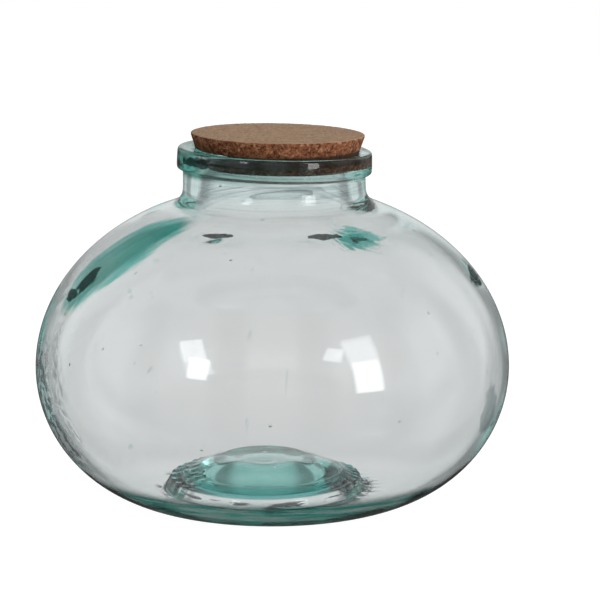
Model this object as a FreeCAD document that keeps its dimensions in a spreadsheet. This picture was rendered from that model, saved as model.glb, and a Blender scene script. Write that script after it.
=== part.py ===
"""A round-bellied jar of thick recycled glass, closed by a tapered cork lid.

The jar stands along +Z with the middle of its foot at the origin. It is one turned piece of glass: an
outside, a hollow, a mouth with the cork's own taper, and edges melted round. The lid is one turned
piece of pressed cork that wedges into the mouth. Sizes are in millimetres.
"""

import FreeCAD, Part
import math
import os

import Sketcher

SIZES = {
    # Outside of the glass, from the foot up
    "foot_diameter": 110.0,
    "foot_ring_width": 3.0,
    "kick_top_diameter": 98.0,
    "kick_height": 10.0,
    "belly_diameter": 290.0,
    "belly_height": 85.5,
    "shoulder_rise": 109.5,
    "shoulder_flat_diameter": 15.0,
    "neck_height": 17.2,
    "neck_wall": 5.8,
    "lip_height": 13.5,
    "lip_overhang": 4.0,
    # Hollow of the glass
    "boss_top_diameter": 54.0,
    "boss_foot_diameter": 100.0,
    "boss_rise": 13.5,
    "disc_diameter": 116.0,
    "disc_thickness": 14.0,
    "heel_diameter": 122.0,
    "heel_thickness": 7.5,
    "belly_wall": 5.0,
    "shoulder_wall": 6.0,
    "seat_depth": 14.0,
    # Roundings of the glass, and the most of a wall that one of them may take
    "kick_rounding": 0.8,
    "kick_top_rounding": 2.0,
    "boss_top_rounding": 16.0,
    "boss_foot_rounding": 10.0,
    "disc_edge_rounding": 1.5,
    "neck_rounding": 9.0,
    "lip_root_rounding": 1.5,
    "lip_under_rounding": 2.6,
    "lip_top_rounding": 3.5,
    "mouth_rounding": 1.5,
    "seat_rounding": 8.0,
    "throat_rounding": 16.0,
    "rounding_share": 0.9,
    # Cork lid, and how it sits in the mouth
    "cork_top_diameter": 104.0,
    "cork_bottom_diameter": 94.0,
    "cork_thickness": 20.0,
    "cork_proud": 10.5,
    "cork_edge_rounding": 0.8,
    "seat_clearance": 0.3,
    # How far the cut of the mouth runs past the top of the lip
    "mouth_overrun": 2.0,
}

# The cork's gain in radius per unit of height, which the mouth shares
CORK_SLOPE = "(Sizes.cork_top_diameter - Sizes.cork_bottom_diameter) / 2 / Sizes.cork_thickness"
MOUTH_RADIUS = f"Sizes.cork_top_diameter / 2 - {CORK_SLOPE} * Sizes.cork_proud + Sizes.seat_clearance"
# The neck's wall is left outside the mouth's widest ring, be that at the lip or at the foot of the seat
NECK_RADIUS = f"{MOUTH_RADIUS} + Sizes.neck_wall + max(0; -{CORK_SLOPE} * Sizes.seat_depth)"
# Height of the lip's top: the shoulder's curve up to the neck, then the neck and the lip
NECK_SHARE = (
    f"({NECK_RADIUS} - Sizes.shoulder_flat_diameter / 2)"
    " / (Sizes.belly_diameter / 2 - Sizes.shoulder_flat_diameter / 2)"
)
LIP_TOP = (
    f"Sizes.belly_height + Sizes.shoulder_rise * sqrt(1 - ({NECK_SHARE}) ^ 2)"
    " + Sizes.neck_height + Sizes.lip_height"
)

GROUND, AXIS = range(-1, -3, -1)  # a sketch's own level line and upright line
START, END, CENTRE = range(1, 4)  # the points of a sketched edge
FULL_TURN = 360.0
BOTTOM, SIDE = 1.5 * math.pi, 2 * math.pi  # turns to the lowest and the outermost point of an ellipse
RING_MATCH = 0.01  # how closely a round edge has to agree with the radius and height asked for

document = FreeCAD.newDocument("CorkLidJar")


# Sheet of driving sizes

sheet = document.addObject("Spreadsheet::Sheet", "Sizes")
for row, (name, value) in enumerate(SIZES.items(), start=1):
    sheet.set(f"A{row}", name)
    sheet.set(f"B{row}", str(value))
    sheet.setAlias(f"B{row}", name)
document.recompute()


def size(name):
    return float(sheet.get(name))


def radius(name):
    return size(name) / 2


# Radii and heights that follow from the sheet, where the sketches start from

cork_slope = (radius("cork_top_diameter") - radius("cork_bottom_diameter")) / size("cork_thickness")
mouth_radius = radius("cork_top_diameter") - cork_slope * size("cork_proud") + size("seat_clearance")
neck_radius = mouth_radius + size("neck_wall") + max(0.0, -cork_slope * size("seat_depth"))
lip_radius = neck_radius + size("lip_overhang")
shoulder_reach = radius("belly_diameter") - radius("shoulder_flat_diameter")
neck_turn = math.acos((neck_radius - radius("shoulder_flat_diameter")) / shoulder_reach)
neck_root = size("belly_height") + size("shoulder_rise") * math.sin(neck_turn)
lip_underside = neck_root + size("neck_height")
lip_top = lip_underside + size("lip_height")


class HalfSection:
    """A closed half-section drawn edge by edge in a body's XZ plane: radius across, height up."""

    def __init__(self, body, name):
        plane = next(f for f in body.Origin.OriginFeatures if f.Role == "XZ_Plane")
        self.sketch = body.newObject("Sketcher::SketchObject", name)
        self.sketch.AttachmentSupport = [(plane, "")]
        self.sketch.MapMode = "FlatFace"
        self.edges = []

    def add(self, curve, start=START, end=END):
        edge = self.sketch.addGeometry(curve, False)
        if self.edges:
            before, _, before_end = self.edges[-1]
            self.tie("Coincident", before, before_end, edge, start)
        self.edges.append((edge, start, end))
        return edge

    def line(self, start, end):
        return self.add(Part.LineSegment(FreeCAD.Vector(*start, 0), FreeCAD.Vector(*end, 0)))

    def swell(self, centre, reach, rise, start_turn, end_turn):
        """Part of an ellipse between two turns, both counted up from level with its centre."""
        middle = FreeCAD.Vector(*centre, 0)
        across = FreeCAD.Vector(reach, 0, 0)
        up = FreeCAD.Vector(0, rise, 0)
        if reach >= rise:
            ellipse, first_turn = Part.Ellipse(middle + across, middle + up, middle), 0.0
        else:
            ellipse, first_turn = Part.Ellipse(middle + up, middle - across, middle), math.pi / 2
        edge = self.add(Part.ArcOfEllipse(ellipse, start_turn - first_turn, end_turn - first_turn))
        self.sketch.exposeInternalGeometry(edge)
        long_axis, short_axis = edge + 1, edge + 2
        self.tie("Horizontal" if reach >= rise else "Vertical", long_axis)
        upright_axis = short_axis if reach >= rise else long_axis
        return edge, upright_axis

    def close(self):
        first, first_start, _ = self.edges[0]
        last, _, last_end = self.edges[-1]
        self.tie("Coincident", last, last_end, first, first_start)

    def tie(self, kind, *refs):
        self.sketch.addConstraint(Sketcher.Constraint(kind, *refs))

    def measure(self, name, kind, *refs, by):
        """A named dimension, with its first value last in refs, that follows the sheet."""
        index = self.sketch.addConstraint(Sketcher.Constraint(kind, *refs))
        self.sketch.renameConstraint(index, name)
        self.sketch.setExpression(f"Constraints.{name}", by)


def turn(body, kind, name, section):
    """Turns a half-section about the axis, to add it or to cut it away."""
    feature = body.newObject(kind, name)
    feature.Profile = section.sketch
    feature.ReferenceAxis = (section.sketch, ["V_Axis"])
    feature.Angle = FULL_TURN
    document.recompute()
    return feature


def round_ring(body, name, ring_radius, height, by):
    """Rounds the round edge of that radius at that height in the body's own frame."""
    base = body.Tip
    ring = None
    for number, edge in enumerate(base.Shape.Edges, start=1):
        if not edge.Degenerated and isinstance(edge.Curve, Part.Circle):
            apart = max(abs(edge.Curve.Radius - ring_radius), abs(edge.Curve.Center.z - height))
            if apart < RING_MATCH:
                ring = f"Edge{number}"
    if ring is None:
        raise ValueError(f"{name}: no round edge of radius {ring_radius:.2f} at height {height:.2f}")
    fillet = body.newObject("PartDesign::Fillet", name)
    fillet.Base = (base, [ring])
    fillet.setExpression("Radius", by)
    document.recompute()


# Glass jar, outside: narrow foot round a pushed-up kick, round belly and shoulder, short neck, thick lip

jar = document.addObject("PartDesign::Body", "Jar")
jar.Label = "glass_jar"

kick_top = (0.0, size("kick_height"))
kick_edge = (radius("kick_top_diameter"), size("kick_height"))
foot_edge = (radius("foot_diameter"), 0.0)
kick_rim = (foot_edge[0] - size("foot_ring_width"), 0.0)
widest = (radius("belly_diameter"), size("belly_height"))
shoulder_middle = (radius("shoulder_flat_diameter"), widest[1])

outside = HalfSection(jar, "Outside")
kick = outside.line(kick_top, kick_edge)
kick_slope = outside.line(kick_edge, kick_rim)
foot = outside.line(kick_rim, foot_edge)
belly, _ = outside.swell(
    (foot_edge[0], widest[1]), widest[0] - foot_edge[0], widest[1], BOTTOM, SIDE
)
shoulder, shoulder_axis = outside.swell(
    shoulder_middle, shoulder_reach, size("shoulder_rise"), 0.0, neck_turn
)
neck = outside.line((neck_radius, neck_root), (neck_radius, lip_underside))
lip_ledge = outside.line((neck_radius, lip_underside), (lip_radius, lip_underside))
lip_side = outside.line((lip_radius, lip_underside), (lip_radius, lip_top))
lip_face = outside.line((lip_radius, lip_top), (0.0, lip_top))
outside.line((0.0, lip_top), kick_top)
outside.close()

outside.tie("PointOnObject", kick, START, AXIS)
outside.tie("Horizontal", kick)
outside.measure("kick_height", "DistanceY", kick, END, kick_top[1], by="Sizes.kick_height")
outside.measure("kick_top_radius", "DistanceX", kick, END, kick_edge[0], by="Sizes.kick_top_diameter / 2")
outside.tie("PointOnObject", kick_slope, END, GROUND)
outside.measure(
    "kick_radius", "DistanceX", kick_slope, END, kick_rim[0],
    by="Sizes.foot_diameter / 2 - Sizes.foot_ring_width",
)
outside.tie("PointOnObject", foot, END, GROUND)
outside.tie("Vertical", foot, END, belly, CENTRE)
outside.measure("foot_radius", "DistanceX", belly, CENTRE, foot_edge[0], by="Sizes.foot_diameter / 2")
outside.measure("belly_height", "DistanceY", belly, CENTRE, widest[1], by="Sizes.belly_height")
outside.tie("Horizontal", belly, CENTRE, belly, END)
outside.measure("belly_radius", "DistanceX", belly, END, widest[0], by="Sizes.belly_diameter / 2")
outside.tie("Horizontal", shoulder, CENTRE, belly, END)
outside.measure(
    "shoulder_flat_radius", "DistanceX", shoulder, CENTRE, shoulder_middle[0],
    by="Sizes.shoulder_flat_diameter / 2",
)
outside.measure(
    "shoulder_span", "Distance", shoulder_axis, 2 * size("shoulder_rise"), by="2 * Sizes.shoulder_rise"
)
outside.measure("neck_radius", "DistanceX", neck, START, neck_radius, by=NECK_RADIUS)
outside.tie("Vertical", neck)
outside.measure("neck_height", "Distance", neck, size("neck_height"), by="Sizes.neck_height")
outside.tie("Horizontal", lip_ledge)
outside.measure("lip_overhang", "Distance", lip_ledge, size("lip_overhang"), by="Sizes.lip_overhang")
outside.tie("Vertical", lip_side)
outside.measure("lip_height", "Distance", lip_side, size("lip_height"), by="Sizes.lip_height")
outside.tie("Horizontal", lip_face)
outside.tie("PointOnObject", lip_face, END, AXIS)

turn(jar, "PartDesign::Revolution", "BlownShape", outside)


# Glass jar, hollow: a floor pushed up to a disc, with a thick boss in its middle, a heel and a thin wall,
# a throat that flares into the shoulder, and a mouth pressed to the cork's own taper

boss_edge = (radius("boss_top_diameter"), size("disc_thickness") + size("boss_rise"))
boss_foot = (radius("boss_foot_diameter"), size("disc_thickness"))
disc_edge = (radius("disc_diameter"), size("disc_thickness"))
heel = (radius("heel_diameter"), size("heel_thickness"))
hollow_radius = radius("belly_diameter") - size("belly_wall")
hollow_reach = hollow_radius - shoulder_middle[0]
hollow_rise = size("shoulder_rise") - size("shoulder_wall")
mouth_end = lip_top + size("mouth_overrun")
mouth_end_radius = mouth_radius + cork_slope * size("mouth_overrun")
seat_foot = (mouth_radius - cork_slope * size("seat_depth"), lip_top - size("seat_depth"))
throat_turn = math.acos((seat_foot[0] - shoulder_middle[0]) / hollow_reach)
throat = (seat_foot[0], widest[1] + hollow_rise * math.sin(throat_turn))

hollow = HalfSection(jar, "Hollow")
boss = hollow.line((0.0, boss_edge[1]), boss_edge)
boss_slope = hollow.line(boss_edge, boss_foot)
disc_face = hollow.line(boss_foot, disc_edge)
disc_side = hollow.line(disc_edge, heel)
low_wall, _ = hollow.swell(
    (heel[0], widest[1]), hollow_radius - heel[0], widest[1] - heel[1], BOTTOM, SIDE
)
high_wall, high_wall_axis = hollow.swell(shoulder_middle, hollow_reach, hollow_rise, 0.0, throat_turn)
throat_wall = hollow.line(throat, seat_foot)
mouth = hollow.line(seat_foot, (mouth_end_radius, mouth_end))
mouth_cover = hollow.line((mouth_end_radius, mouth_end), (0.0, mouth_end))
hollow.line((0.0, mouth_end), (0.0, boss_edge[1]))
hollow.close()

hollow.tie("PointOnObject", boss, START, AXIS)
hollow.tie("Horizontal", boss)
hollow.measure(
    "boss_height", "DistanceY", boss, END, boss_edge[1], by="Sizes.disc_thickness + Sizes.boss_rise"
)
hollow.measure("boss_top_radius", "DistanceX", boss, END, boss_edge[0], by="Sizes.boss_top_diameter / 2")
hollow.measure("boss_foot_radius", "DistanceX", boss_slope, END, boss_foot[0], by="Sizes.boss_foot_diameter / 2")
hollow.tie("Horizontal", disc_face)
hollow.measure("disc_thickness", "DistanceY", disc_face, END, disc_edge[1], by="Sizes.disc_thickness")
hollow.measure("disc_radius", "DistanceX", disc_face, END, disc_edge[0], by="Sizes.disc_diameter / 2")
hollow.measure("heel_thickness", "DistanceY", disc_side, END, heel[1], by="Sizes.heel_thickness")
hollow.tie("Vertical", disc_side, END, low_wall, CENTRE)
hollow.measure("heel_radius", "DistanceX", low_wall, CENTRE, heel[0], by="Sizes.heel_diameter / 2")
hollow.measure("belly_height", "DistanceY", low_wall, CENTRE, widest[1], by="Sizes.belly_height")
hollow.tie("Horizontal", low_wall, CENTRE, low_wall, END)
hollow.measure(
    "hollow_radius", "DistanceX", low_wall, END, hollow_radius,
    by="Sizes.belly_diameter / 2 - Sizes.belly_wall",
)
hollow.tie("Horizontal", high_wall, CENTRE, low_wall, END)
hollow.measure(
    "shoulder_flat_radius", "DistanceX", high_wall, CENTRE, shoulder_middle[0],
    by="Sizes.shoulder_flat_diameter / 2",
)
hollow.measure(
    "hollow_span", "Distance", high_wall_axis, 2 * hollow_rise,
    by="2 * (Sizes.shoulder_rise - Sizes.shoulder_wall)",
)
hollow.tie("Vertical", throat_wall)
hollow.measure("seat_level", "DistanceY", throat_wall, END, seat_foot[1], by=f"{LIP_TOP} - Sizes.seat_depth")
hollow.measure("mouth_slope", "Angle", mouth, math.atan2(1, cork_slope), by=f"90 deg - atan({CORK_SLOPE})")
hollow.tie("PointOnObject", mouth_cover, END, AXIS)
hollow.tie("Horizontal", mouth_cover)
hollow.measure("mouth_end", "DistanceY", mouth_cover, END, mouth_end, by=f"{LIP_TOP} + Sizes.mouth_overrun")
hollow.measure(
    "mouth_end_radius", "DistanceX", mouth_cover, START, mouth_end_radius,
    by=f"{MOUTH_RADIUS} + {CORK_SLOPE} * Sizes.mouth_overrun",
)

turn(jar, "PartDesign::Groove", "BlownHollow", hollow)


# Glass jar, edges melted round in the fire

round_ring(jar, "ThroatRounding", *throat, by="Sizes.throat_rounding")
round_ring(jar, "SeatRounding", *seat_foot, by="Sizes.seat_rounding")
round_ring(jar, "MouthRounding", mouth_radius, lip_top, by="Sizes.mouth_rounding")
round_ring(jar, "LipTopRounding", lip_radius, lip_top, by="Sizes.lip_top_rounding")
round_ring(
    jar, "LipUnderRounding", lip_radius, lip_underside,
    by="min(Sizes.lip_under_rounding;"
    " Sizes.rounding_share * (Sizes.lip_overhang - Sizes.lip_root_rounding))",
)
round_ring(jar, "LipRootRounding", neck_radius, lip_underside, by="Sizes.lip_root_rounding")
round_ring(
    jar, "NeckRounding", neck_radius, neck_root,
    by="min(Sizes.neck_rounding; Sizes.rounding_share * (Sizes.neck_height - Sizes.lip_root_rounding))",
)
round_ring(jar, "BossTopRounding", *boss_edge, by="Sizes.boss_top_rounding")
round_ring(jar, "BossFootRounding", *boss_foot, by="Sizes.boss_foot_rounding")
round_ring(jar, "DiscEdgeRounding", *disc_edge, by="Sizes.disc_edge_rounding")
round_ring(jar, "KickTopRounding", *kick_edge, by="Sizes.kick_top_rounding")
round_ring(jar, "KickRounding", *kick_rim, by="Sizes.kick_rounding")


# Cork lid: a tapered round stopper, seated in the mouth with part of its height standing out

cork = document.addObject("PartDesign::Body", "Cork")
cork.Label = "cork_lid"

cork_bottom = (radius("cork_bottom_diameter"), 0.0)
cork_top = (radius("cork_top_diameter"), size("cork_thickness"))

stopper = HalfSection(cork, "Stopper")
cork_under = stopper.line((0.0, 0.0), cork_bottom)
stopper.line(cork_bottom, cork_top)
cork_face = stopper.line(cork_top, (0.0, cork_top[1]))
stopper.line((0.0, cork_top[1]), (0.0, 0.0))
stopper.close()

stopper.tie("Coincident", cork_under, START, GROUND, START)
stopper.tie("PointOnObject", cork_under, END, GROUND)
stopper.tie("PointOnObject", cork_face, END, AXIS)
stopper.tie("Horizontal", cork_face)
stopper.measure(
    "bottom_radius", "DistanceX", cork_under, END, cork_bottom[0], by="Sizes.cork_bottom_diameter / 2"
)
stopper.measure("top_radius", "DistanceX", cork_face, START, cork_top[0], by="Sizes.cork_top_diameter / 2")
stopper.measure("thickness", "DistanceY", cork_face, END, cork_top[1], by="Sizes.cork_thickness")

turn(cork, "PartDesign::Revolution", "TurnedCork", stopper)
round_ring(cork, "CorkTopEdge", *cork_top, by="Sizes.cork_edge_rounding")
round_ring(cork, "CorkBottomEdge", *cork_bottom, by="Sizes.cork_edge_rounding")
cork.setExpression("Placement.Base.z", f"{LIP_TOP} + Sizes.cork_proud - Sizes.cork_thickness")
document.recompute()


# Both pieces, checked and written out

for item in document.Objects:
    if {"Invalid", "Error"} & set(item.State):
        raise RuntimeError(f"{item.Label} failed: {item.State}")
if jar.Shape.Volume >= document.getObject("BlownShape").Shape.Volume:
    raise RuntimeError("the jar was not hollowed")
for piece in (jar, cork):
    if piece.Shape.isNull() or not piece.Shape.isValid() or len(piece.Shape.Solids) != 1:
        raise RuntimeError(f"{piece.Label} is not one valid solid")

os.makedirs("parts", exist_ok=True)
for piece in (jar, cork):
    box = piece.Shape.optimalBoundingBox()
    piece.Shape.exportStep(f"parts/{piece.Label}.step")
    print(
        f"{piece.Label}: {box.XLength:.1f} x {box.YLength:.1f} x {box.ZLength:.1f} mm,"
        f" from z {box.ZMin:.2f} to {box.ZMax:.2f}, {piece.Shape.Volume / 1000:.1f} cm3"
    )
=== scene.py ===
"""Looks of a squat jar of thick recycled glass with a pressed-cork lid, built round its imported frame."""

import math

import bpy
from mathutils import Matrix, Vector


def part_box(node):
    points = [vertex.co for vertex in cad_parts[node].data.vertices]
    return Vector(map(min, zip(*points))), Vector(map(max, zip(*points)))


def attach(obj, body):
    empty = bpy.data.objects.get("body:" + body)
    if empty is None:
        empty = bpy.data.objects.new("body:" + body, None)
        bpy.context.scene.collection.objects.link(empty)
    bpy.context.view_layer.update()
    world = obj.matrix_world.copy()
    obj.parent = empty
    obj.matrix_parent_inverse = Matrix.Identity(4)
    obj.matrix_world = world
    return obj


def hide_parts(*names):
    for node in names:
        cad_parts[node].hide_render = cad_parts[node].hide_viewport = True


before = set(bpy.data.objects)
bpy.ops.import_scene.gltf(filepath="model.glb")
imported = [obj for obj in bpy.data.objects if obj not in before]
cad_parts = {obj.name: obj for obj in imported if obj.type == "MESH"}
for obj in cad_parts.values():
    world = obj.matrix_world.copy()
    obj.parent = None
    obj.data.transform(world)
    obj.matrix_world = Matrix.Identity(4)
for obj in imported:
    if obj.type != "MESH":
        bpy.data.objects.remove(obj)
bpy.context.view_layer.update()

# The jar is one melt of thick recycled glass, blown into a mould: foot, belly, shoulder, neck and lip.
# The wall is thin at the belly, heavy at the foot and the neck, and never quite even.
# The outline of the whole wall, outside and inside, is drawn once and spun round the jar's axis.
mm = 0.001
jar_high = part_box("glass_jar")[1]
belly_radius = jar_high.x
lip_top = jar_high.z
belly_level = 85.5 * mm
foot_radius = 55 * mm
kick_radius = 52 * mm
kick_top_radius = 49 * mm
kick_height = 10 * mm
shoulder_rise = 109.5 * mm
shoulder_flat = 7.5 * mm
neck_radius = 55.5 * mm
lip_height = 13.5 * mm
lip_radius = 60 * mm
mouth_radius = 49.675 * mm
mouth_slope = 0.25
heel_wall = 5.5 * mm
disc_foot_radius = 62 * mm
disc_radius = 58.5 * mm
disc_level = 14 * mm
boss_foot_radius = 56 * mm
boss_top_radius = 28 * mm
boss_rise = 13.5 * mm
base_shift = 5 * mm
belly_wall = 5 * mm
shoulder_wall = 6 * mm
heel_starts = 45
seat_depth = 14 * mm
neck_shift = 1.5 * mm
mouth_shift = 1.0 * mm
lip_lean = math.radians(2)
heel_steps = 30
round_steps = 128
fold_count = 38


def bow(middle_r, middle_z, half_width, half_height, start, end, steps):
    """Points (radius, height) along part of an ellipse, from one angle to another in degrees."""
    turns = [math.radians(start + (end - start) * step / steps) for step in range(steps + 1)]
    return [
        (middle_r + half_width * math.cos(turn), middle_z + half_height * math.sin(turn))
        for turn in turns
    ]


def straight(first, last, steps):
    """Points on a straight stretch, without its first one."""
    return [
        tuple(a + (b - a) * step / steps for a, b in zip(first, last)) for step in range(1, steps + 1)
    ]


def ease(value, low, high):
    """0 below low, 1 above high, and a smooth rise between."""
    share = min(1, max(0, (value - low) / (high - low)))
    return share * share * (3 - 2 * share)


def melt_corner(outline, corner, reach, steps=4):
    """The outline with one corner melted round, reach metres along it to either side."""
    before = after = min(range(len(outline)), key=lambda i: math.dist(outline[i], corner))
    while math.dist(outline[before], corner) < reach:
        before -= 1
    while math.dist(outline[after], corner) < reach:
        after += 1
    ends = []
    for far in (outline[before], outline[after]):
        ends.append(tuple(c + (f - c) * reach / math.dist(far, corner) for c, f in zip(corner, far)))
    first, last = ends
    curve = [
        tuple((1 - t) ** 2 * a + 2 * t * (1 - t) * b + t * t * c for a, b, c in zip(first, corner, last))
        for t in (step / steps for step in range(steps + 1))
    ]
    return outline[:before] + curve + outline[after + 1 :]


outer_half = belly_radius - shoulder_flat
neck_turn = math.degrees(math.acos((neck_radius - shoulder_flat) / outer_half))
neck_root = belly_level + shoulder_rise * math.sin(math.radians(neck_turn))
lip_under = lip_top - lip_height
inner_half = outer_half - belly_wall
inner_rise = shoulder_rise - shoulder_wall
seat_foot = (mouth_radius - mouth_slope * seat_depth, lip_top - seat_depth)
throat_turn = math.degrees(math.acos((seat_foot[0] - shoulder_flat) / inner_half))
throat = bow(shoulder_flat, belly_level, inner_half, inner_rise, throat_turn, throat_turn, 1)[0]

lower_half = belly_radius - foot_radius
lower_outside = bow(foot_radius, belly_level, lower_half, belly_level, -90, 0, 34)
lower_inside = []
for step in range(heel_steps + 1):
    below_level = 90 * step / heel_steps
    turn = -math.radians(below_level)
    r = foot_radius + lower_half * math.cos(turn)
    z = belly_level * (1 + math.sin(turn))
    out = Vector((math.cos(turn) / lower_half, math.sin(turn) / belly_level)).normalized()
    thick = belly_wall + (heel_wall - belly_wall) * ease(below_level, heel_starts, 90)
    if r - thick * out[0] > disc_foot_radius:
        lower_inside.append((r - thick * out[0], z - thick * out[1]))
kick_edge = (kick_top_radius, kick_height)
wall = [(0, kick_height + mm)]
wall += straight(wall[0], kick_edge, 6) + straight(kick_edge, (kick_radius, 0), 8)
wall += lower_outside
wall += bow(shoulder_flat, belly_level, outer_half, shoulder_rise, 0, neck_turn, 30)[1:]
wall += straight((neck_radius, neck_root), (neck_radius, lip_under), 4)
lip_foot = (lip_radius - 0.5 * mm, lip_under)
lip_brow = (lip_radius - 1 * mm, lip_top)
wall += [lip_foot, (lip_radius, lip_under + 0.4 * lip_height), lip_brow, (mouth_radius, lip_top)]
wall += straight((mouth_radius, lip_top), seat_foot, 5) + straight(seat_foot, throat, 5)
wall += bow(shoulder_flat, belly_level, inner_half, inner_rise, throat_turn, 0, 31)[1:]
wall += lower_inside[1:]
disc_foot = (disc_foot_radius, lower_inside[-1][1])
disc_edge = (disc_radius, disc_level)
boss_foot = (boss_foot_radius, disc_level)
boss_edge = (boss_top_radius, disc_level + boss_rise)
wall += [disc_foot] + straight(disc_foot, disc_edge, 3) + straight(disc_edge, boss_foot, 2)
slope = straight(boss_foot, boss_edge, 9)
bead_r, bead_z = slope[1]
bead = [(bead_r - 0.8 * mm, bead_z + 1.2 * mm), (bead_r - 1.8 * mm, bead_z + 1.4 * mm)]
wall += slope[:2] + bead + slope[2:] + straight(boss_edge, (0, boss_edge[1] + mm), 6)
for corner, reach in [
    (kick_edge, 2 * mm),
    ((kick_radius, 0), 0.8 * mm),
    (disc_edge, 1.2 * mm),
    (boss_foot, 1.2 * mm),
    (boss_edge, 6 * mm),
    ((neck_radius, neck_root), 7 * mm),
    ((neck_radius, lip_under), 1.5 * mm),
    (lip_foot, 2.6 * mm),
    (lip_brow, 2.2 * mm),
    ((mouth_radius, lip_top), 1.5 * mm),
    (seat_foot, 3 * mm),
    (throat, 11 * mm),
]:
    wall = melt_corner(wall, corner, reach)

bpy.ops.object.select_all(action="DESELECT")
bpy.ops.mesh.primitive_plane_add(size=mm, location=(0, 0, 0))
jar = bpy.context.object
jar.name = jar.data.name = "recycled_glass_jar"
bpy.ops.object.mode_set(mode="EDIT")
bpy.ops.mesh.select_all(action="SELECT")
bpy.ops.mesh.merge(type="CENTER")
bpy.ops.transform.translate(value=(wall[0][0], 0, wall[0][1]))
for (r, z), (next_r, next_z) in zip(wall, wall[1:]):
    bpy.ops.mesh.extrude_region_move(TRANSFORM_OT_translate={"value": (next_r - r, 0, next_z - z)})
bpy.ops.mesh.select_all(action="SELECT")
bpy.ops.mesh.spin(steps=round_steps, angle=2 * math.pi, center=(0, 0, 0), axis=(0, 0, 1))
bpy.ops.mesh.select_all(action="SELECT")
bpy.ops.mesh.remove_doubles(threshold=mm / 100)
bpy.ops.mesh.normals_make_consistent(inside=False)
bpy.ops.mesh.faces_shade_smooth()
bpy.ops.object.mode_set(mode="OBJECT")


def pick(piece, test):
    """Goes into edit mode with just those points selected for which test(place) holds."""
    bpy.ops.object.mode_set(mode="EDIT")
    bpy.ops.mesh.select_all(action="DESELECT")
    bpy.ops.object.mode_set(mode="OBJECT")
    for point in piece.data.vertices:
        point.select = test(point.co)
    bpy.ops.object.mode_set(mode="EDIT")


def drawn_along(reach):
    """Settings that let the points within reach follow a move softly."""
    return {
        "use_proportional_edit": True,
        "proportional_edit_falloff": "SMOOTH",
        "proportional_size": reach,
    }


def base(point):
    """True on the raised floor with its boss, and on the kick below them."""
    return math.hypot(point.x, point.y) < disc_foot_radius and point.z < disc_level + 2 * boss_rise


def mouth(point):
    """True round the mouth, inside the lip."""
    return point.z > lip_under and math.hypot(point.x - neck_shift, point.y) < mouth_radius + mm


pick(jar, base)
bpy.ops.transform.translate(value=(-base_shift, 0, 0), **drawn_along(14 * mm))
pick(jar, lambda point: point.z > neck_root + 4 * mm)
bpy.ops.transform.translate(value=(neck_shift, 0, 0), **drawn_along(24 * mm))
pick(jar, lambda point: point.z > lip_under - 0.5 * mm)
bpy.ops.transform.rotate(
    value=-lip_lean,
    orient_axis="Y",
    center_override=(neck_shift, 0, lip_under + lip_height / 2),
    **drawn_along(15 * mm),
)
pick(jar, mouth)
bpy.ops.transform.translate(value=(mouth_shift, 0, 0), **drawn_along(7 * mm))
bpy.ops.object.mode_set(mode="OBJECT")


def inner_side(point):
    """True on the wall of the hollow, where a step along the surface's normal goes into the hollow."""
    r = math.hypot(point.x, point.y)
    if point.z > belly_level:
        across = (r - shoulder_flat) / (outer_half - belly_wall / 2)
        up = (point.z - belly_level) / (shoulder_rise - shoulder_wall / 2)
        return math.hypot(across, up) < 1 and point.z < neck_root
    if r < disc_radius - 2 * mm:
        return point.z > (kick_height + disc_level) / 2
    return point.z > heel_wall * 0.75 and (
        math.hypot(
            max(0, r - foot_radius) / (lower_half - belly_wall / 2),
            (belly_level - point.z) / (belly_level - belly_wall / 2),
        )
        < 1
    )


def push(piece, share, distance, pattern=None):
    """Moves the surface along its normals by a distance times share(point), with an optional pattern."""
    group = piece.vertex_groups.new(name="push")
    for index, point in enumerate(piece.data.vertices):
        weight = share(point.co)
        if weight > 0.001:
            group.add([index], weight, "REPLACE")
    moved = piece.modifiers.new("push", "DISPLACE")
    moved.vertex_group = group.name
    moved.strength = distance
    moved.mid_level = 0
    if pattern:
        moved.texture = pattern
        moved.texture_coords = "LOCAL"
        moved.mid_level = 0.5
    bpy.ops.object.modifier_apply(modifier="push")
    piece.vertex_groups.clear()


def hill(around, around_reach, level, level_reach):
    """Share for push(): 1 at one place of the inner wall and easing to 0 round about it."""

    def share(point):
        if not inner_side(point):
            return 0
        turn = (math.degrees(math.atan2(point.y, point.x)) - around + 180) % 360 - 180
        far = math.hypot(turn / around_reach, (point.z - level) / level_reach)
        return 1 - ease(far, 0, 1)

    return share


def ridge(radius, width):
    """Share for push(): a low ring round the inside of the shoulder."""

    def share(point):
        if not inner_side(point) or point.z < belly_level:
            return 0
        return math.exp(-(((math.hypot(point.x, point.y) - radius) / width) ** 2))

    return share


for around, around_reach, level, level_reach, rise in [
    (180, 60, 88, 66, 0.7),
    (206, 34, 156, 30, 1.6),
    (-2, 10, 141, 8, 0.8),
    (-50, 15, 173, 10, 1.5),
    (-74, 20, 174, 5, 0.7),
    (-116, 18, 174, 6, 0.9),
]:
    push(jar, hill(around, around_reach, level * mm, level_reach * mm), rise * mm)
push(jar, ridge(77 * mm, 5 * mm), 0.5 * mm)


def low_wall(point):
    """Share for push(): the inner wall away from the middle of the belly, fading out up the shoulder."""
    away = ease(math.hypot(point.x, point.z - belly_level), 55 * mm, 110 * mm)
    return away * inner_side(point) * (1 - ease(point.z, 100 * mm, 130 * mm))


waves = bpy.data.textures.new("slow_waves", "CLOUDS")
waves.noise_scale = 24 * mm
waves.noise_depth = 0
push(jar, low_wall, 0.35 * mm, waves)
rounding = jar.modifiers.new("rounding", "SUBSURF")
rounding.levels = rounding.render_levels = 1
bpy.ops.object.modifier_apply(modifier="rounding")


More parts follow.
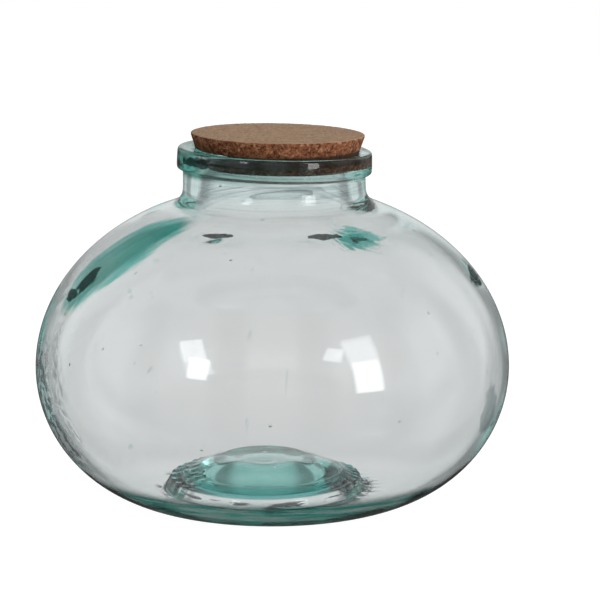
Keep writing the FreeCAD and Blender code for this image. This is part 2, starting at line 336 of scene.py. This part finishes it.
def ripples(point):
    """Share for push(): short radial folds round the edge of the floor, where the melt chilled first."""
    r = math.hypot(point.x, point.y)
    if point.z > 26 * mm or r < 30 * mm or not inner_side(point):
        return 0
    turn = math.atan2(point.y, point.x)
    fold = 0.5 + 0.5 * math.sin(fold_count * turn + 1.5 * math.sin(5 * turn) + 60 * r / belly_radius)
    sideways = ease(abs(point.x) / r, 0.7, 0.95)
    return sideways * fold * ease(r, 44 * mm, 52 * mm) * (1 - ease(r, 58 * mm, 70 * mm))


push(jar, ripples, 0.9 * mm)
creases = bpy.data.textures.new("short_creases", "CLOUDS")
creases.noise_scale = 6 * mm
creases.noise_depth = 1
for around, around_reach, level, level_reach, rise in [
    (-51, 19, 173, 12, 1.0),
    (-116, 26, 173, 9, 0.7),
    (180, 26, 76, 46, 0.9),
    (186, 26, 126, 14, 0.6),
    (-2, 16, 141, 10, 0.6),
]:
    push(jar, hill(around, around_reach, level * mm, level_reach * mm), rise * mm, creases)


class Node:
    """A socket of a node tree. Sums on it in Python add Math nodes, and node() adds any other node."""

    def __init__(self, tree, socket=None):
        self.tree = tree
        self.socket = socket

    def node(self, kind, settings, sockets, output=0):
        """Adds a node: its settings first, then each socket's value or link. Returns one output."""
        made = self.tree.nodes.new(kind)
        for name, value in settings.items():
            if name == "stops":
                while len(made.color_ramp.elements) < len(value):
                    made.color_ramp.elements.new(1)
                for element, (position, colour) in zip(made.color_ramp.elements, value):
                    element.position = position
                    element.color = colour
            else:
                setattr(made, name, value)
        for name, value in sockets.items():
            if isinstance(name, int):
                socket = made.inputs[name]
            else:
                socket = next(s for s in made.inputs if s.enabled and s.name == name)
            if isinstance(value, Node):
                self.tree.links.new(value.socket, socket)
            else:
                socket.default_value = value
        if not made.outputs:
            return None
        if isinstance(output, str):
            return Node(self.tree, made.outputs[output])
        return Node(self.tree, [s for s in made.outputs if s.enabled][output])

    def sum(self, operation, a, b):
        """A Math node on two values or sockets."""
        return self.node("ShaderNodeMath", {"operation": operation}, {0: a, 1: b})

    def __add__(self, other):
        return self.sum("ADD", self, other)

    def __radd__(self, other):
        return self.sum("ADD", other, self)

    def __sub__(self, other):
        return self.sum("SUBTRACT", self, other)

    def __rsub__(self, other):
        return self.sum("SUBTRACT", other, self)

    def __mul__(self, other):
        return self.sum("MULTIPLY", self, other)

    def __rmul__(self, other):
        return self.sum("MULTIPLY", other, self)

    def eased(self, low, high, at_low=0.0, at_high=1.0):
        """The value on a smooth rise from one level to another."""
        return self.node(
            "ShaderNodeMapRange",
            {"interpolation_type": "SMOOTHSTEP"},
            {"Value": self, "From Min": low, "From Max": high, "To Min": at_low, "To Max": at_high},
        )


def new_finish(name):
    """A new material with an empty node tree, and that tree's starting point."""
    material = bpy.data.materials.new(name)
    material.use_nodes = True
    material.node_tree.nodes.clear()
    return material, Node(material.node_tree)


glass, start = new_finish("recycled_glass")
clear_glass = (0.93, 0.905, 0.91, 1)
deep_teal = (0.04, 0.38, 0.32, 1)
crescent_teal = (0.02, 0.30, 0.25, 1)
bottle_green = (0.03, 0.21, 0.17, 1)
heel_green_and_shade = (0.001, 0.055, 0.04, 1)
disc_teal = (0.002, 0.25, 0.235, 1)
shadow_green = (0.05, 0.085, 0.08, 1)
slate_lines_and_shade = (0.20, 0.25, 0.26, 1)
dark_slate_shade = (0.05, 0.065, 0.075, 1)
neck_teal = (0.70, 0.92, 0.90, 1)
cord_and_edge_shade_black = (0.02, 0.032, 0.03, 1)
depth_teal = (0.33, 0.9, 0.84, 1)
depth_per_metre = 13.0
seeds_per_metre = 42.0
crescent_place = -51 * mm
crescent_half = 17 * mm
here = start.node("ShaderNodeTexCoord", {}, {}, output="Object")
flat_here = start.node("ShaderNodeVectorMath", {"operation": "MULTIPLY"}, {0: here, 1: (1, 1, 0)})
from_axis = start.node("ShaderNodeVectorMath", {"operation": "LENGTH"}, {0: flat_here}, output="Value")
rightward, backward, height = (
    start.node("ShaderNodeSeparateXYZ", {}, {"Vector": here}, output=name) for name in "XYZ"
)
edge_on = start.node("ShaderNodeLayerWeight", {}, {"Blend": 0.5}, output="Facing")
facing = start.node("ShaderNodeNewGeometry", {}, {}, output="Normal")
from_below = start.node("ShaderNodeSeparateXYZ", {}, {"Vector": facing}, output="Z").eased(0.05, -0.2)


def stained(glass_so_far, share, stain):
    """The glass with a deeper stain over part of it."""
    return start.node(
        "ShaderNodeMix", {"data_type": "RGBA"}, {"Factor": share, "A": glass_so_far, "B": stain}
    )


def streaks(along):
    """Noise from 0 to 1 on a vector that is already stretched to its folds."""
    settings = {"Vector": along, "Scale": 1.0, "Detail": 3.0}
    return start.node("ShaderNodeTexNoise", {}, settings, output="Fac")


def drawn(fineness):
    """Streaky noise from 0 to 1, finest across the way that the melt ran: folds per metre on X, Y, Z."""
    along = start.node("ShaderNodeVectorMath", {"operation": "MULTIPLY"}, {0: here, 1: fineness})
    return streaks(along)


def spot(place, reach):
    """1 at a place in the glass, easing to 0 as far as reach says along X, Y and Z, all in mm."""
    middle = tuple(value * mm for value in place)
    per_reach = tuple(1 / (value * mm) for value in reach)
    away = start.node("ShaderNodeVectorMath", {"operation": "SUBTRACT"}, {0: here, 1: middle})
    away = start.node("ShaderNodeVectorMath", {"operation": "MULTIPLY"}, {0: away, 1: per_reach})
    away = start.node("ShaderNodeVectorMath", {"operation": "LENGTH"}, {0: away}, output="Value")
    return away.eased(1, 0)


shifted = start.node("ShaderNodeVectorMath", {"operation": "ADD"}, {0: flat_here, 1: (base_shift, 0, 0)})
from_base = start.node("ShaderNodeVectorMath", {"operation": "LENGTH"}, {0: shifted}, output="Value")
on_base = height.eased(45 * mm, 38 * mm) * from_base.eased(70 * mm, 64 * mm)
layers = drawn((25, 25, 420))
runs = drawn((45, 260, 45))
crumples = drawn((150, 150, 210))
# A deep teal run on the left of the shoulder, wide in its middle and drawn out to both ends
frayed = backward + 8 * mm * (runs - 0.5)
from_run = start.sum("MAXIMUM", frayed - crescent_place, crescent_place - frayed)
taper = rightward.eased(-38 * mm, -80 * mm, 0.15, 1) * height.eased(122 * mm, 150 * mm, 0.3, 1)
crescent = (crescent_half * taper - from_run).eased(-2 * mm, 3 * mm)
crescent = crescent * rightward.eased(-40 * mm, -56 * mm) * height.eased(122 * mm, 132 * mm)
neck = height.eased(184 * mm, 194 * mm)
melt = stained(clear_glass, neck * edge_on.eased(0.6, 0.4, 0, 0.15), neck_teal)
from_inside = start.node("ShaderNodeNewGeometry", {}, {}, output="Backfacing")
slant = start.sum("MAXIMUM", edge_on.eased(0.3, 0.5, 0.1, 1), from_inside * edge_on.eased(0.12, 0.18))
melt = stained(melt, crescent * runs.eased(0.3, 0.6, 0.9, 1) * slant, crescent_teal)
# Painted shade: a dark, crumpled band up the left edge where it is seen edge-on
left_edge_shade = edge_on.eased(0.64, 0.74) * rightward.eased(-105 * mm, -118 * mm)
left_edge_shade = left_edge_shade * height.eased(22 * mm, 40 * mm) * height.eased(118 * mm, 98 * mm)
melt = stained(melt, left_edge_shade * crumples.eased(0.46, 0.53, 0, 0.94), dark_slate_shade)
# A brush of teal that fans out on the right of the shoulder, and painted shade low on the right edge
fan_x, fan_z = rightward - 26 * mm, height - 178 * mm
fan_turn = start.sum("ARCTAN2", fan_z, fan_x)
fan = streaks(start.node("ShaderNodeCombineXYZ", {}, {"X": 14 * fan_turn, "Y": 90 * fan_x}))
brush = spot((50, -70, 173.5), (28, 30, 13)) + 1.7 * (fan - 0.5)
melt = stained(melt, brush.eased(0.35, 0.7, 0, 0.95), deep_teal)
# Painted shade: a grey blotch near the right silhouette
right_edge_shade = spot((128, -62, 70), (16, 24, 30)) + 0.8 * (crumples - 0.5)
melt = stained(melt, right_edge_shade.eased(0.35, 0.6, 0, 0.85) * edge_on.eased(0.5, 0.66), slate_lines_and_shade)
# A teal disc in the floor, with painted shade as dark wedges to the left and right of its boss
near_slope = height.eased(22 * mm, 16 * mm) * height.eased(12.6 * mm, 13.8 * mm)
near_slope = near_slope * from_axis.eased(66 * mm, 62 * mm)
melt = stained(melt, 0.985 * near_slope, disc_teal)
right_wedge_shade = spot((42, -22, 18), (22, 34, 16)) + 1.2 * (fan - 0.5)
melt = stained(melt, right_wedge_shade.eased(0.3, 0.5, 0, 0.97) * on_base, dark_slate_shade)
left_wedge_shade = spot((-52, -24, 17), (15, 26, 14)) + 1.2 * (runs - 0.5)
melt = stained(melt, left_wedge_shade.eased(0.35, 0.55, 0, 0.95) * on_base, slate_lines_and_shade)
# Faint level lines in the neck, deep green on the lip, and deep green with painted shade on the heel and
# the lower sides
neck_lines = drawn((14, 14, 520)).eased(0.5, 0.62, 0, 0.5)
neck_lines = neck_lines * height.eased(183 * mm, 188 * mm) * height.eased(205 * mm, 202 * mm)
melt = stained(melt, neck_lines, slate_lines_and_shade)
# Painted shade on the heel: deep green where it faces down, partly its thick glass and partly the shaded
# floor under the jar
heel_tint_and_shade = height.eased(30 * mm, 23 * mm) * from_axis.eased(62 * mm, 72 * mm) * from_below
heel_tint_and_shade = heel_tint_and_shade * edge_on.eased(0.25, 0.42) * layers.eased(0.38, 0.55, 0.93, 1)
melt = stained(melt, heel_tint_and_shade, heel_green_and_shade)
lip = height.eased(202 * mm, 206 * mm) * edge_on.eased(0.2, 0.5, 0.6, 1)
lip = lip * rightward.eased(-20 * mm, 50 * mm, 1, 0.4)
melt = stained(melt, lip, bottle_green)
# Painted shade: a dark green edge along the lower sides where they are seen edge-on
edge_shade_low_sides = height.eased(155 * mm, 115 * mm, 0.1, 1) * (1 - on_base)
melt = stained(melt, edge_shade_low_sides * edge_on.eased(0.78, 0.97), shadow_green)
# Cords, which are dark threads in the melt, a broken ring of them round the foot of the disc, and painted
# shade at the edges and the lip
# Painted shade: a near-black edge along the silhouettes of the lower sides
cords_and_edge_shade = edge_shade_low_sides * edge_on.eased(0.88, 0.99, 0, 0.8)
# Dark blotches; those at the lip and near the right edge are painted shade
for place, reach, roughness, seen_at in [
    ((-108, -53, 147), (22, 14, 22), runs, 0.5),
    ((-119, -48, 137), (10, 16, 9), crumples, 0.5),
    ((30, -77, 176.5), (24, 14, 3.2), crumples, 0.3),
    ((-33, -76, 177), (20, 14, 2.6), crumples, 0.3),
    ((122, -21, 143), (14, 30, 14), crumples, 0.7),
    ((-47, -36, 214.5), (28, 34, 6), crumples, 0.1),
]:
    cord = (spot(place, reach) + 1.1 * (roughness - 0.5)).eased(0.5, 0.62, 0, 0.85)
    cords_and_edge_shade = start.sum("MAXIMUM", cords_and_edge_shade, cord * edge_on.eased(seen_at - 0.1, seen_at))
dashes = drawn((55, 55, 300)).eased(0.54, 0.6, 0, 0.85)
dashes = dashes * from_base.eased(57.5 * mm, 59 * mm) * height.eased(12 * mm, 10.5 * mm)
cords_and_edge_shade = start.sum("MAXIMUM", cords_and_edge_shade, dashes * on_base)
# Seeds, the small bubbles that stay in recycled glass
from_seed = start.node(
    "ShaderNodeTexVoronoi", {}, {"Vector": here, "Scale": seeds_per_metre}, output="Distance"
)
seeds = from_seed.eased(0.045, 0.015)
seeds = start.node("ShaderNodeBump", {}, {"Height": seeds, "Strength": 0.7, "Distance": 0.5 * mm})
glass_body = start.node(
    "ShaderNodeBsdfPrincipled",
    {},
    {"Base Color": melt, "Roughness": 0.0, "IOR": 1.5, "Transmission Weight": 1.0, "Normal": seeds},
)
# The near-black finish of the cords and of the painted shade at the edges and the lip
dark_cord_and_edge_shade = start.node(
    "ShaderNodeBsdfPrincipled",
    {},
    {"Base Color": cord_and_edge_shade_black, "Roughness": 0.5, "Specular IOR Level": 0.0},
)
glass_body = start.node("ShaderNodeMixShader", {}, {0: cords_and_edge_shade, 1: glass_body, 2: dark_cord_and_edge_shade})
glass_depth = start.node(
    "ShaderNodeVolumeAbsorption", {}, {"Color": depth_teal, "Density": depth_per_metre}
)
start.node("ShaderNodeOutputMaterial", {}, {"Surface": glass_body, "Volume": glass_depth})
jar.data.materials.append(glass)
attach(jar, "jar")
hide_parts("glass_jar")

# The lid is a round tapered stopper pressed from cork granules and glue, then turned to size.
# It is wedged in the mouth by its taper, so it leans a little and its lower half shows through the lip.
cork_low, cork_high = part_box("cork_lid")
cork_top_radius = 53 * mm
cork_bottom_radius = 46.4 * mm
cork_lean = math.radians(1.1)
cork_shift = 3.1 * mm
cork_drop = 1.2 * mm
granule = 2.3 * mm
crumb = 1.1 * mm
voxel = 0.65 * mm
edge_round = 0.9 * mm
# Top of the band of painted shade round the cork where it sits in the mouth
seat_shade_top = lip_top + 0.2 * mm
glue_and_seat_shade_brown = (0.035, 0.018, 0.012, 1)
stir = 1.6 * mm
stirs_per_metre = 260.0
pores_per_metre = 1500.0
bpy.ops.object.select_all(action="DESELECT")
bpy.ops.mesh.primitive_cylinder_add(
    vertices=round_steps,
    radius=cork_top_radius,
    depth=cork_high.z - cork_low.z,
    location=(0, 0, (cork_high.z + cork_low.z) / 2),
)
cork = bpy.context.object
cork.name = cork.data.name = "pressed_cork_lid"
bpy.ops.object.transform_apply(location=True, rotation=True, scale=True)
pick(cork, lambda point: point.z < (cork_high.z + cork_low.z) / 2)
squeeze = cork_bottom_radius / cork_top_radius
bpy.ops.transform.resize(value=(squeeze, squeeze, 1), center_override=(0, 0, cork_low.z))
bpy.ops.mesh.select_all(action="DESELECT")
bpy.ops.mesh.select_mode(type="EDGE")
bpy.ops.object.mode_set(mode="OBJECT")
for edge in cork.data.edges:
    ends = [cork.data.vertices[i].co.z for i in edge.vertices]
    edge.select = abs(ends[0] - ends[1]) < mm
bpy.ops.object.mode_set(mode="EDIT")
bpy.ops.mesh.bevel(offset=edge_round, segments=3, affect="EDGES")
bpy.ops.mesh.select_mode(type="VERT")
bpy.ops.mesh.select_all(action="SELECT")
bpy.ops.transform.rotate(value=-cork_lean, orient_axis="Y", center_override=(0, 0, cork_low.z))
bpy.ops.transform.translate(value=(cork_shift, 0, -cork_drop))
bpy.ops.object.mode_set(mode="OBJECT")
grid = cork.modifiers.new("grid", "REMESH")
grid.mode = "VOXEL"
grid.voxel_size = voxel
bpy.ops.object.modifier_apply(modifier="grid")
bpy.ops.object.shade_smooth()
granules = bpy.data.textures.new("cork_granules", "VORONOI")
granules.noise_scale = granule
crumbs = bpy.data.textures.new("cork_crumbs", "CLOUDS")
crumbs.noise_scale = crumb
crumbs.noise_type = "HARD_NOISE"
push(cork, lambda point: 1, -0.22 * mm, granules)
push(cork, lambda point: 1, -0.16 * mm, crumbs)

cork_finish, start = new_finish("pressed_cork")
here = start.node("ShaderNodeTexCoord", {}, {}, output="Object")
stirred = start.node(
    "ShaderNodeTexNoise", {}, {"Vector": here, "Scale": stirs_per_metre, "Detail": 3.0}, output="Color"
)
stirred = start.node(
    "ShaderNodeVectorMath", {"operation": "MULTIPLY_ADD"}, {0: stirred, 1: (stir, stir, stir), 2: here}
)


def grains(size):
    """A random shade for each grain of a size, and how far a spot is from the grain's edge."""
    settings = {"Vector": stirred, "Scale": 1 / size, "Randomness": 1.0}
    shade = start.node("ShaderNodeTexVoronoi", {}, settings, output="Color")
    shade = start.node("ShaderNodeSeparateColor", {}, {"Color": shade}, output="Red")
    edge = {"feature": "DISTANCE_TO_EDGE"}
    return shade, start.node("ShaderNodeTexVoronoi", edge, settings, output="Distance")


big_shade, big_edge = grains(granule)
small_shade, small_edge = grains(crumb)
pores = start.node(
    "ShaderNodeTexNoise", {}, {"Vector": here, "Scale": pores_per_metre, "Detail": 2.0}, output="Fac"
)
facing_up = start.node("ShaderNodeNewGeometry", {}, {}, output="Normal")
facing_up = start.node("ShaderNodeSeparateXYZ", {}, {"Vector": facing_up}, output="Z")
on_top = facing_up.eased(0.55, 0.85)
shade = 0.45 * big_shade + 0.55 * small_shade
shade = 0.5 + (shade - 0.5) * (1 - 0.5 * on_top)
# The side is darker and redder than the top, partly the turned face's own tone and partly painted shade
sawn = start.node(
    "ShaderNodeValToRGB",
    {
        "stops": [
            (0.15, (0.26, 0.155, 0.092, 1)),
            (0.42, (0.47, 0.295, 0.180, 1)),
            (0.60, (0.57, 0.380, 0.240, 1)),
            (0.85, (0.68, 0.480, 0.330, 1)),
        ]
    },
    {"Fac": shade},
)
turned_and_shaded_side = start.node(
    "ShaderNodeValToRGB",
    {
        "stops": [
            (0.15, (0.09, 0.030, 0.014, 1)),
            (0.40, (0.25, 0.085, 0.036, 1)),
            (0.62, (0.36, 0.135, 0.060, 1)),
            (0.88, (0.52, 0.250, 0.130, 1)),
        ]
    },
    {"Fac": shade},
)
bark = start.node("ShaderNodeMix", {"data_type": "RGBA"}, {"Factor": on_top, "A": turned_and_shaded_side, "B": sawn})
glue = (1 - big_edge.eased(0.0, 0.09)) * (1 - 0.6 * on_top)
pits = pores.eased(0.62, 0.72) * (1 - 0.5 * on_top)
# Painted shade: a dark band round the cork where it sits in the mouth, from just above the lip down; glue
# joints and pores are darkened too
level = start.node("ShaderNodeSeparateXYZ", {}, {"Vector": here}, output="Z")
seat_shade = level.eased(seat_shade_top + 0.8 * mm, seat_shade_top - 0.8 * mm)
seat_shade = seat_shade * level.eased(seat_shade_top - 8.5 * mm, seat_shade_top - 6 * mm)
joints_pits_and_seat_shade = start.sum("MAXIMUM", start.sum("MAXIMUM", 0.5 * glue, 0.7 * pits), 0.88 * seat_shade)
bark = start.node("ShaderNodeMix", {"data_type": "RGBA"}, {"Factor": joints_pits_and_seat_shade, "A": bark, "B": glue_and_seat_shade_brown})
relief = 0.6 * small_edge.eased(0, 0.25) + 0.4 * pores - 0.6 * pits
bump = start.node("ShaderNodeBump", {}, {"Height": relief, "Strength": 0.35, "Distance": 0.3 * mm})
cork_body = start.node(
    "ShaderNodeBsdfPrincipled",
    {},
    {"Base Color": bark, "Roughness": 0.8 + 0.15 * pits, "Normal": bump, "Specular IOR Level": 0.25},
)
start.node("ShaderNodeOutputMaterial", {}, {"Surface": cork_body})
cork.data.materials.append(cork_finish)
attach(cork, "lid")
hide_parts("cork_lid")

# The light is a plain soft studio: pale panels all round, a dark ceiling and three softboxes in front.
# To the camera the whole room is white; glass and gloss see the panels and the gaps between them.
scene = bpy.context.scene
scene.view_settings.view_transform = "Standard"
scene.cycles.max_bounces = 32
scene.cycles.transmission_bounces = 32
scene.cycles.glossy_bounces = 24
panel_level = 0.845
gap_level = 0.36
ceiling_level = 0.06
gloss_ceiling_level = 0.4
panel_count = 8
lamp_distance = 1.5


def rays_of(start):
    """Whether a ray comes straight from the camera, off a gloss, or through glass."""
    names = ("Is Camera Ray", "Is Glossy Ray", "Is Transmission Ray")
    return [start.node("ShaderNodeLightPath", {}, {}, output=name) for name in names]


def panels_seen(start, direction):
    """How bright the ring of eight pale panels is in a direction from the jar."""
    x, y = (start.node("ShaderNodeSeparateXYZ", {}, {"Vector": direction}, output=name) for name in "XY")
    around = panel_count * start.sum("ARCTAN2", y, x)
    turn = start.node("ShaderNodeMath", {"operation": "COSINE"}, {0: around})
    up = start.node("ShaderNodeSeparateXYZ", {}, {"Vector": direction}, output="Z")
    return panel_level - up.eased(-0.75, -0.45) * turn.eased(0.2, -0.9, 0, panel_level - gap_level)


room = bpy.data.worlds.new("studio_room")
scene.world = room
room.use_nodes = True
room.node_tree.nodes.clear()
start = Node(room.node_tree)
camera_ray, gloss_ray, glass_ray = rays_of(start)
direction = start.node("ShaderNodeTexCoord", {}, {}, output="Generated")
upward = start.node("ShaderNodeSeparateXYZ", {}, {"Vector": direction}, output="Z")
panels = panels_seen(start, direction)
seen = panels * upward.eased(0.45, 0.75, 1, ceiling_level)
sideways = start.node("ShaderNodeSeparateXYZ", {}, {"Vector": direction}, output="X")
soft_light = sideways.eased(-0.6, 0.6, 0.02, 1.05)
gloss_share = upward.eased(-0.4, -0.15, 0.08, 0.3) + upward.eased(-0.12, 0.1, 0, 0.55)
gloss_seen = gloss_share * panels * upward.eased(0.45, 0.75, 1, gloss_ceiling_level)
light = gloss_ray * gloss_seen + (1 - gloss_ray) * soft_light
light = glass_ray * seen + (1 - glass_ray) * light
light = camera_ray + (1 - camera_ray) * light
sky = start.node("ShaderNodeBackground", {}, {"Color": (1, 1, 1, 1), "Strength": light})
start.node("ShaderNodeOutputWorld", {}, {"Surface": sky})

jar_middle = Vector((0, 0, 100 * mm))


def softbox(name, around, above, width, height, radiance):
    """A soft rectangular lamp on the jar, at an angle in degrees from the camera's side and from level."""
    lamp = bpy.data.lights.new(name, "AREA")
    lamp.shape = "RECTANGLE"
    lamp.size = width
    lamp.size_y = height
    lamp.energy = radiance * math.pi * width * height
    holder = bpy.data.objects.new(name, lamp)
    scene.collection.objects.link(holder)
    turn, rise = math.radians(around), math.radians(above)
    direction = Vector(
        (math.sin(turn) * math.cos(rise), -math.cos(turn) * math.cos(rise), math.sin(rise))
    )
    holder.location = jar_middle + direction * lamp_distance
    holder.rotation_mode = "QUATERNION"
    holder.rotation_quaternion = direction.to_track_quat("Z", "Y")


softbox("left_softbox", -35.3, 17.5, 0.25, 0.36, 4.6)
softbox("right_softbox", 45.2, 10.5, 0.36, 0.55, 5)
softbox("right_softbox_upper", 45.2, 28.5, 0.38, 0.4, 2.6)

# The floor is a plain sheet of pale paper that the jar stands on, and it keeps the jar's faint soft shadow.
# To the camera it glows nearly white, and glass and gloss look through it to the room's panels.
paper_radius = 3
paper_white = (0.9, 0.9, 0.9, 1)
paper_glow = 1.25
glow_share = 0.78
bpy.ops.object.select_all(action="DESELECT")
bpy.ops.mesh.primitive_circle_add(vertices=96, radius=paper_radius, fill_type="NGON", location=(0, 0, 0))
floor = bpy.context.object
floor.name = floor.data.name = "studio_floor"
paper, start = new_finish("pale_paper")
camera_ray, gloss_ray, glass_ray = rays_of(start)
lit = start.node("ShaderNodeBsdfDiffuse", {}, {"Color": paper_white})
glow = start.node("ShaderNodeEmission", {}, {"Color": (1, 1, 1, 1), "Strength": paper_glow})
surface = start.node("ShaderNodeMixShader", {}, {0: camera_ray * glow_share, 1: lit, 2: glow})
clear = start.node("ShaderNodeBsdfTransparent", {}, {})
looks_through = start.sum("MAXIMUM", glass_ray, gloss_ray)
surface = start.node("ShaderNodeMixShader", {}, {0: looks_through, 1: surface, 2: clear})
start.node("ShaderNodeOutputMaterial", {}, {"Surface": surface})
floor.data.materials.append(paper)

# The camera stands well back in front of the jar, on its -Y side, and above the lid's height.
# It looks slightly down through a long lens, so the lip and the foot show as flat ovals.
eye = Vector((0, -1.7678, 0.4388))
aim = Vector((0.0169, 0, 0.1254))
lens = bpy.data.cameras.new("camera")
lens.lens = 176.1
lens.sensor_width = 36
camera = bpy.data.objects.new("camera", lens)
scene.collection.objects.link(camera)
camera.location = eye
camera.rotation_mode = "QUATERNION"
camera.rotation_quaternion = (aim - eye).to_track_quat("-Z", "Y")
scene.camera = camera
